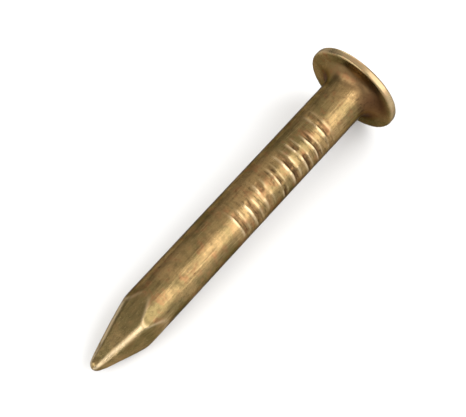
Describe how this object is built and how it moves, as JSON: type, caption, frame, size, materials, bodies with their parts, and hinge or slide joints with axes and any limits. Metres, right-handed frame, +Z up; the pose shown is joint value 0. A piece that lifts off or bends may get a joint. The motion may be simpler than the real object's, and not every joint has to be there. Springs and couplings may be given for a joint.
{
  "type": "nail",
  "caption": "Small round-head wire nail: thin domed head with a flared underside, plain round shank with gripping marks, and a four-sided diamond point.",
  "frame": {"origin": "on the surface the nail lies on, under the middle of its bounding box", "axes": "the nail lies on its side at rest, touching with its head's rim and the start of its point; +X runs along it from the point to the head, +Z is up"},
  "size_m": [0.01, 0.0024, 0.0025],
  "materials": {
    "antique_brass": "satin antique plating over drawn wire, darker in the hollows"
  },
  "bodies": {
    "root": {"nail": "antique_brass"}
  },
  "joints": []
}
